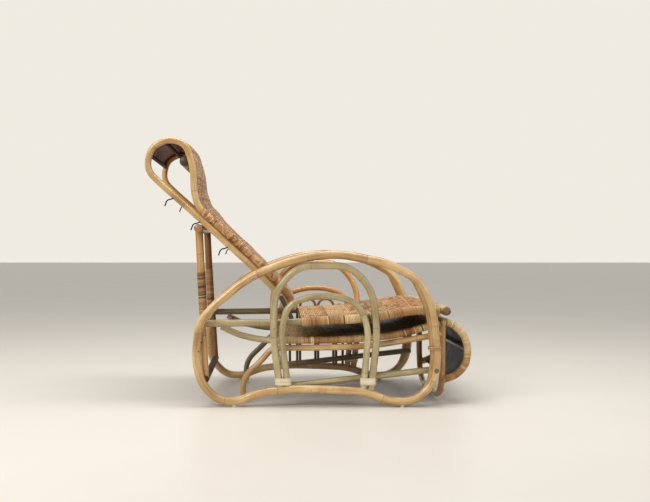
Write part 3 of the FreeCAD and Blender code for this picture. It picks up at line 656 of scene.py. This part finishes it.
# painted shade: a dark matte pole for the slats under the head and the low rear bar
deep_shade = rattan("pole_deep_shade", (40, 26, 16), (68, 44, 26), (96, 66, 40), (46, 28, 16), coat=0.0,
             rough=(0.60, 0.75), specular=0.15)
wound = cane("cane_wound", (104, 60, 26), (198, 154, 90), (236, 212, 160), (52, 30, 14),
             stain=(170, 112, 54), shade=1.0)
red_wound = cane("cane_wound_brown", (78, 44, 22), (164, 116, 62), (212, 174, 112), (36, 22, 12),
                 stain=(112, 70, 36), shade=1.0)
pale = cane("cane_pale", (206, 192, 156), (230, 218, 186), (244, 236, 212), (150, 132, 96))
# the under colours of the woven sheets are painted shade on their undersides
seat_cane = cane("cane_woven_seat", (104, 58, 26), (200, 148, 86), (238, 204, 148), (58, 32, 14),
                 under_shade=(28, 27, 26), stain=(190, 124, 62), shade=1.0, mottle=58.0, coat=0.0, specular=0.25)
back_cane = cane("cane_woven_back", (98, 54, 26), (194, 140, 84), (234, 198, 144), (54, 30, 14),
                 under_shade=(104, 62, 32), stain=(180, 114, 58), shade=1.0, mottle=58.0, coat=0.0, specular=0.2)
back_wound = cane("cane_wound_back", (98, 54, 26), (188, 134, 78), (226, 186, 130), (54, 30, 14),
                  stain=(168, 106, 54), shade=1.0, mottle=58.0)
foot_cane = cane("cane_woven_foot", (98, 58, 26), (188, 144, 86), (230, 196, 140), (56, 32, 14),
                 under_shade=(30, 33, 36), stain=(162, 104, 52), shade=1.0, mottle=58.0, coat=0.0, specular=0.25)
iron = plain("iron", (9, 9, 9), (20, 18, 17), 160.0, (0.66, 0.82), specular=0.15)
steel = plain("steel", (112, 104, 96), (74, 68, 62), 120.0, (0.40, 0.56), 1.0)
glide_plastic = plain("glide", (214, 210, 198), (196, 190, 176), 90.0, (0.45, 0.6))
seam = plain("seam", (48, 30, 16), (66, 42, 22), 200.0, (0.6, 0.8))

SIDES = (("right", -1), ("left", 1))


def scarf_marks(loop, y):
    """The slanted line of a scarf joint on both faces of a side loop, and the nail heads beside it."""
    marks = Shape()
    low, high = place(SCARF_ENDS[0], y), place(SCARF_ENDS[1], y)
    core = loop.samples(0.002)[1]
    radius = SIDE_POLE / 2000
    for face in (-1, 1):
        line = []
        for share in np.linspace(0.03, 0.97, 40):
            p = low + (high - low) * share
            away = np.linalg.norm(core - p, axis=1).min()
            if away < radius - 0.0012:
                line.append(p + ALONG_Y * face * math.sqrt(radius ** 2 - away ** 2))
        pole(marks, Route(line, bend=False), ALONG_Y, SEAM_WIDTH, around=8, swell=0.0)
        for share in NAILS:
            head = line[int(share * len(line))] + ALONG_X * 0.004
            nail = Route([head, head + ALONG_Y * face * 0.0009], bend=False)
            pole(marks, nail, ALONG_X, NAIL_HEAD, around=10, swell=0.0)
    return marks


# The two side frames
for label, sign in SIDES:
    near = sign < 0
    y = sign * SIDE_Y
    loop = side_route(SIDE_LOOP, y, closed=True)
    pole(Shape(), loop, ALONG_Y, SIDE_POLE, around=24, swell=0.02).make(
        "side_loop_pole_" + label, "base", tan, ["side_loop_" + label], "pole_tan")
    scarf_marks(loop, y).make("scarf_seam_" + label, "base", seam)
    inner = beside(SIDE_LOOP[10:15], DOUBLER_SPACING)[1:-1]
    doubler = side_route([DOUBLER_TOP] + inner + [DOUBLER_FOOT], y)
    pole(Shape(), doubler, ALONG_Y, DOUBLER_POLE).make(
        "front_doubler_pole_" + label, "base", tan if near else orange, ["front_doubler_" + label], "pole_tan")
    arch = side_route(OUTER_ARCH, sign * ARCH_Y)
    pole(Shape(), arch, ALONG_Y, OUTER_ARCH_POLE, around=20).make(
        "outer_arch_pole_" + label, "base", green if near else orange, ["outer_arch_" + label], "pole_green")
    arch = side_route(INNER_ARCH, sign * ARCH_Y)
    pole(Shape(), arch, ALONG_Y, INNER_ARCH_POLE, around=20).make(
        "inner_arch_pole_" + label, "base", green if near else orange, ["inner_arch_" + label], "pole_green")
    pole(Shape(), side_route(STRETCHER, sign * STRETCHER_Y), ALONG_Y, STRETCHER_POLE).make(
        "low_stretcher_pole_" + label, "base", green if near else shaded, ["low_stretcher_" + label], "pole_green")
    feet = Shape()
    for low_at, high_at in ARCH_FEET:
        stadium_band(feet, low_at, high_at, sign * ARCH_Y, OUTER_ARCH_POLE + 2 * BINDING, *FOOT_BAND)
    feet.make("arch_foot_bindings_" + label, "base", pale, ["arch_foot_wraps_" + label], "cane_pale")
    # the far rear post takes the darker brown pole as painted shade
    rear = Route([place(REAR_LOW_BAR, sign * SEAT_Y), place(PROP_PIVOT, sign * SEAT_Y)], bend=False)
    pole(Shape(), rear, ALONG_Y, CROSSBAR_POLE).make(
        "rear_post_pole_" + label, "base", orange if near else brown, ["rear_post_" + label], "pole_brown")
    seat = side_route(SEAT_RAIL, sign * SEAT_Y)
    low, high = seat.where(lambda p: x_of(SEAT_WRAP_ENDS[0]) < p[0] < x_of(SEAT_WRAP_ENDS[1]))
    pole(Shape(), seat, ALONG_Y, SEAT_POLE, end=high).make(
        "seat_rail_pole_" + label, "base", green if near else shaded, ["seat_rail_" + label], "pole_green")
    winding(Shape(), seat, ALONG_Y, SEAT_WRAP, low, high, around=20).make(
        "seat_rail_winding_" + label, "base", wound, ["seat_rail_wrap_" + label], "cane_wrap")

binding_rings = Shape()
for label, sign in SIDES:
    stadium_band(binding_rings, *FRONT_RING, sign * SIDE_Y, SIDE_POLE + 2 * BINDING, *FRONT_BAND, FRONT_BAND_PITCH)
binding_rings.make("front_binding_rings", "base", wound, ["front_bindings"], "cane_wrap")

# The grille of small hoops on the far side
for number, (rear_leg, front_leg, top) in enumerate(HOOP_LEGS, 1):
    hoop = side_route([(rear_leg, 76), (rear_leg, top), (front_leg, top), (front_leg, 76)], ARCH_Y)
    pole(Shape(), hoop, ALONG_Y, HOOP_POLE, around=12).make(
        "hoop_%d" % number, "base", brown, ["grille_hoop_%d" % number], "pole_brown")

# Cross members of the base
half = SIDE_Y
pole(Shape(), cross_route(PROP_PIVOT, -half, half), ALONG_X, CROSSBAR_POLE, around=20).make(
    "rear_pivot_pole", "base", green, ["rear_pivot_bar"], "pole_tan")
# the low rear bar takes the dark matte pole as painted shade
pole(Shape(), cross_route(REAR_LOW_BAR, -half, half), ALONG_X, CROSSBAR_POLE, around=20).make(
    "rear_low_pole", "base", deep_shade, ["rear_low_crossbar"], "pole_brown")
pole(Shape(), cross_route(FRONT_CROSS_RAIL, -half + CROSS_RAIL_SHORT, half - CROSS_RAIL_SHORT), ALONG_X,
     FRONT_CROSS_POLE).make(
    "front_cross_pole", "base", brown, ["front_cross_rail"], "pole_tan")
slats = Shape()
for spot in SEAT_SLATS:
    pole(slats, cross_route(spot, -SEAT_Y + SEAT_SLAT_SHORT, SEAT_Y - SEAT_SLAT_SHORT), ALONG_X, SLAT_POLE,
         around=12)
slats.make("seat_cross_poles", "base", brown, ["seat_slats"], "pole_brown")
# the nose's ends carry a mark of 0.5: painted shade at the roll's ends
nose = Shape(0.5)
reach = SEAT_Y + SEAT_WRAP / 2
bar = cross_route(NOSE, -reach, reach)
pole(nose, bar, ALONG_X, NOSE_POLE - CORE_INSET, around=20, swell=0.0)
winding(nose, bar, ALONG_X, NOSE_POLE, 0.001, bar.length - 0.001, around=22)
nose.make("nose_winding", "base", wound, ["seat_nose_roll"], "cane_wrap")

seat = side_route(SEAT_RAIL, 0.0)
nose_at = place(NOSE)


def seat_kept(p):
    return p[0] > x_of(SEAT_WRAP_ENDS[0]) and np.linalg.norm(p - nose_at) > NOSE_CLEAR


low, high = seat.where(seat_kept)
half = SEAT_Y - math.sqrt((SEAT_WRAP / 2) ** 2 - WEAVE_LIFT ** 2) - FIT_GAP + SHEET_EDGE
woven(Shape(), seat, low, high, half / 1000, SEAT_CROWNS, seed=1.3).make(
    "seat_woven", "base", seat_cane, ["seat_weave"], "cane_weave")

# The back
front = beside(BACK_UNDER[:4], BACK_SPACING)
back_places = BACK_UNDER + BACK_HEAD + front[::-1]
for label, sign in SIDES:
    near = sign < 0
    route = side_route(back_places, sign * BACK_Y)
    pole(Shape(), route, ALONG_Y, BACK_POLE, around=22, swell=0.02).make(
        "back_loop_pole_" + label, "back", tan if near else orange, ["back_pole_" + label], "pole_tan")
    rail = side_route(front, sign * BACK_Y)
    x_low = x_of(front[-1][0] + BACK_WRAP_NECK)
    x_high = x_of(front[0][0] - BACK_WRAP_FOOT)
    low, high = rail.where(lambda p: x_low < p[0] < x_high)
    winding(Shape(), rail, ALONG_Y, BACK_WRAP, low, high, around=18).make(
        "back_rail_winding_" + label, "back", back_wound, ["back_pole_wrap_" + label], "cane_wrap")

straight_low, straight_high = place(front[1]), place(front[3])
slats = Shape()
spots = []
for share in BACK_SLATS:
    p = straight_low + (straight_high - straight_low) * share
    spots.append((p[0] * 1000 + DATUM, p[2] * 1000))
for spot in spots + HEAD_SLATS:
    pole(slats, cross_route(spot, -BACK_Y + BACK_SLAT_SHORT, BACK_Y - BACK_SLAT_SHORT), ALONG_X, SLAT_POLE,
         around=12)
# the back slats under the head take the dark matte pole as painted shade
slats.make("back_cross_poles", "back", deep_shade, ["back_slats"], "pole_brown")

route = side_route(back_places, 0.0)
foot = (place(front[0]) + place(front[1])) / 2
spots_s, points_s = route.samples()
head_from = float(spots_s[points_s[:, 2] > WEAVE_LOW_END / 1000][0])
after_head = spots_s[(spots_s > head_from + 0.2) & (points_s[:, 2] <= foot[2])]
half = BACK_Y - math.sqrt((BACK_WRAP / 2) ** 2 - WEAVE_LIFT ** 2) - FIT_GAP + SHEET_EDGE
woven(Shape(), route, head_from, float(after_head[0]), half / 1000,
      BACK_CROWNS, seed=2.1).make(
    "back_woven", "back", back_cane, ["back_weave"], "cane_weave")
# the head roll's darker brown cane and its ends' mark of 0.8 are partly its own colour and partly painted shade under
# the head
roll = Shape(0.8)
reach = BACK_Y - BACK_POLE / 2 + ROLL_OVERLAP
bar = cross_route(HEAD_ROLL_AT, -reach, reach)
pole(roll, bar, ALONG_X, HEAD_ROLL - CORE_INSET, around=20, swell=0.0)
winding(roll, bar, ALONG_X, HEAD_ROLL, 0.001, bar.length - 0.001, around=24)
roll.make("head_roll_winding", "back", red_wound, ["head_roll"], "cane_weave")

# The prop
catch_half = BACK_Y + CATCH_PAST
pole(Shape(), cross_route(CATCH_BAR, -catch_half, catch_half), ALONG_X, CATCH_POLE, around=22, swell=0.0).make(
    "catch_pole", "prop", orange, ["catch_bar"], "pole_tan")
for label, sign in SIDES:
    near = sign < 0
    post = Route([place(PROP_PIVOT, sign * PROP_POST_Y), place(CATCH_BAR, sign * PROP_POST_Y)], bend=False)
    # the far prop post takes the darker brown pole as painted shade
    pole(Shape(), post, ALONG_Y, PROP_POLE, around=20, swell=0.03).make(
        "prop_post_pole_" + label, "prop", orange if near else brown, ["prop_post_" + label], "pole_tan")
    low, high = post.where(lambda p: PROP_WRAP_ENDS[0] / 1000 < p[2] < PROP_WRAP_ENDS[1] / 1000)
    winding(Shape(), post, ALONG_Y, PROP_WRAP, low, high, PROP_WRAP_PITCH, around=20).make(
        "prop_winding_" + label, "prop", red_wound, ["prop_wrap_" + label], "cane_wrap")
    eye = cross_route(PROP_PIVOT, sign * PROP_POST_Y - PROP_POLE / 2, sign * PROP_POST_Y + PROP_POLE / 2)
    winding(Shape(), eye, ALONG_X, PROP_EYE, 0.0, eye.length, around=24).make(
        "prop_eye_winding_" + label, "prop", red_wound, ["prop_eye_" + label], "cane_wrap")

# The footrest
for label, sign in SIDES:
    near = sign < 0
    route = side_route(FOOT_RAIL, sign * FOOT_RAIL_Y)
    low, high = route.where(lambda p: p[0] > x_of(FOOT_WRAP_START))
    pole(Shape(), route, ALONG_Y, FOOT_POLE).make(
        "foot_rail_pole_" + label, "footrest", green if near else shaded, ["foot_rail_" + label], "pole_green")
    winding(Shape(), route, ALONG_Y, FOOT_WRAP, low, high, around=18).make(
        "foot_rail_winding_" + label, "footrest", wound, ["foot_rail_wrap_" + label], "cane_wrap")
    pole(Shape(), side_route(FOOT_UNDER, sign * FOOT_RAIL_Y), ALONG_Y, FOOT_UNDER_POLE).make(
        "foot_rear_leg_pole_" + label, "footrest", tan if near else shaded, ["foot_rear_leg_" + label], "pole_tan")

side_y, low, top = FOOT_RAIL_Y / 1000, LEG_LOW / 1000, (FOOT_RAIL[5][1] + 4) / 1000
half_leg = [(side_y, top), (side_y, low + LEG_TURN), (side_y - LEG_CHAMFER, LEG_CORNER), (side_y - LEG_TURN, low)]
legs = Route([np.array([x_of(LEG_REACH), y, z]) for y, z in [(-y, z) for y, z in half_leg] + half_leg[::-1]])
pole(Shape(), legs, ALONG_X, LEG_POLE, around=18).make(
    "foot_front_leg_pole", "footrest", orange, ["foot_front_leg"], "pole_brown")
slats = Shape()
for spot in FOOT_SLATS:
    pole(slats, cross_route(spot, -FOOT_RAIL_Y + FOOT_SLAT_SHORT, FOOT_RAIL_Y - FOOT_SLAT_SHORT), ALONG_X,
         SLAT_POLE, around=12)
slats.make("foot_cross_poles", "footrest", shaded, ["foot_slats"], "pole_brown")
route = side_route(FOOT_RAIL, 0.0)
spots_s, points_s = route.samples()
low = float(spots_s[points_s[:, 0] > x_of(FOOT_SHEET_START)][0])
gone = spots_s[(points_s[:, 2] <= ROLL_SHEET_LOW / 1000) & (points_s[:, 0] <= x_of(ROLL_SHEET_REACH))]
half = FOOT_RAIL_Y - math.sqrt((FOOT_WRAP / 2) ** 2 - WEAVE_LIFT ** 2) - FIT_GAP + SHEET_EDGE
woven(Shape(), route, low, float(gone[0]), half / 1000, FOOT_CROWNS, seed=3.7).make(
    "foot_woven", "footrest", foot_cane, ["foot_weave"], "cane_weave")

# CAD nodes that keep their shape, by how their names begin
KEPT = (("catch_hooks", iron), ("back_pivot", steel), ("back_straps", steel), ("side_glides", glide_plastic),
        ("foot_glides", glide_plastic), ("front_dowels", shaded))
for name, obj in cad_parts.items():
    for start, material in KEPT:
        if name.startswith(start):
            if not obj.material_slots:
                obj.data.materials.append(material)
            for slot in obj.material_slots:
                slot.material = material

# Stage, light and camera
floor_mesh = bpy.data.meshes.new("floor")
floor_mesh.from_pydata([(-30, -30, 0), (30, -30, 0), (30, 30, 0), (-30, 30, 0)], [], [(0, 1, 2, 3)])
floor = bpy.data.objects.new("floor", floor_mesh)
bpy.context.scene.collection.objects.link(floor)
floor_nodes = Nodes("floor")
spot = floor_nodes.new("ShaderNodeTexCoord").outputs["Object"]
cloud = floor_nodes.noise(spot, 1.3, (1, 1, 1), 5.0, 0.6)
floor_mesh.materials.append(floor_nodes.finish(
    floor_nodes.mix(cloud, linear(212, 205, 194), linear(222, 216, 206)), 0.42))

world = bpy.data.worlds.new("studio")
world.use_nodes = True
bpy.context.scene.world = world
tree = world.node_tree
light = tree.nodes["Background"]
light.inputs["Color"].default_value = (0.90, 0.91, 0.93, 1.0)
light.inputs["Strength"].default_value = 0.46
wall = tree.nodes.new("ShaderNodeBackground")
wall.inputs["Color"].default_value = linear(240, 235, 226)
rays = tree.nodes.new("ShaderNodeLightPath")
seen = rays.outputs["Is Camera Ray"]
for kind in ("Is Glossy Ray", "Is Transmission Ray"):
    either = tree.nodes.new("ShaderNodeMath")
    either.operation = "MAXIMUM"
    tree.links.new(seen, either.inputs[0])
    tree.links.new(rays.outputs[kind], either.inputs[1])
    seen = either.outputs[0]
choice = tree.nodes.new("ShaderNodeMixShader")
tree.links.new(seen, choice.inputs[0])
tree.links.new(light.outputs[0], choice.inputs[1])
tree.links.new(wall.outputs[0], choice.inputs[2])
tree.links.new(choice.outputs[0], tree.nodes["World Output"].inputs["Surface"])


def lamp(name, at, toward, size, watts, colour):
    data = bpy.data.lights.new(name, "AREA")
    data.shape = "RECTANGLE"
    data.size, data.size_y = size
    data.energy = watts
    data.color = colour
    obj = bpy.data.objects.new(name, data)
    bpy.context.scene.collection.objects.link(obj)
    obj.location = at
    away = np.array(toward) - np.array(at)
    obj.rotation_euler = Vector(away).to_track_quat("-Z", "Y").to_euler()


lamp("key", (-2.6, -2.8, 3.0), (0.0, 0.0, 0.4), (2.2, 1.8), 96.0, (1.0, 0.985, 0.96))
lamp("top", (0.0, -0.3, 3.3), (0.0, 0.0, 0.3), (3.0, 0.8), 78.0, (1.0, 0.99, 0.97))
lamp("fill", (3.2, -2.2, 1.6), (0.0, 0.0, 0.4), (2.0, 2.0), 22.0, (0.95, 0.97, 1.0))

camera_data = bpy.data.cameras.new("camera")
camera_data.sensor_width = 36.0
camera_data.lens = 46.5
camera_data.shift_x = 0.086
camera_data.shift_y = -0.006
camera = bpy.data.objects.new("camera", camera_data)
bpy.context.scene.collection.objects.link(camera)
camera.location = (-0.155, -3.585, 0.619)
camera.rotation_euler = (math.radians(90.0), 0.0, 0.0)
bpy.context.scene.camera = camera
bpy.context.scene.view_settings.view_transform = "Standard"
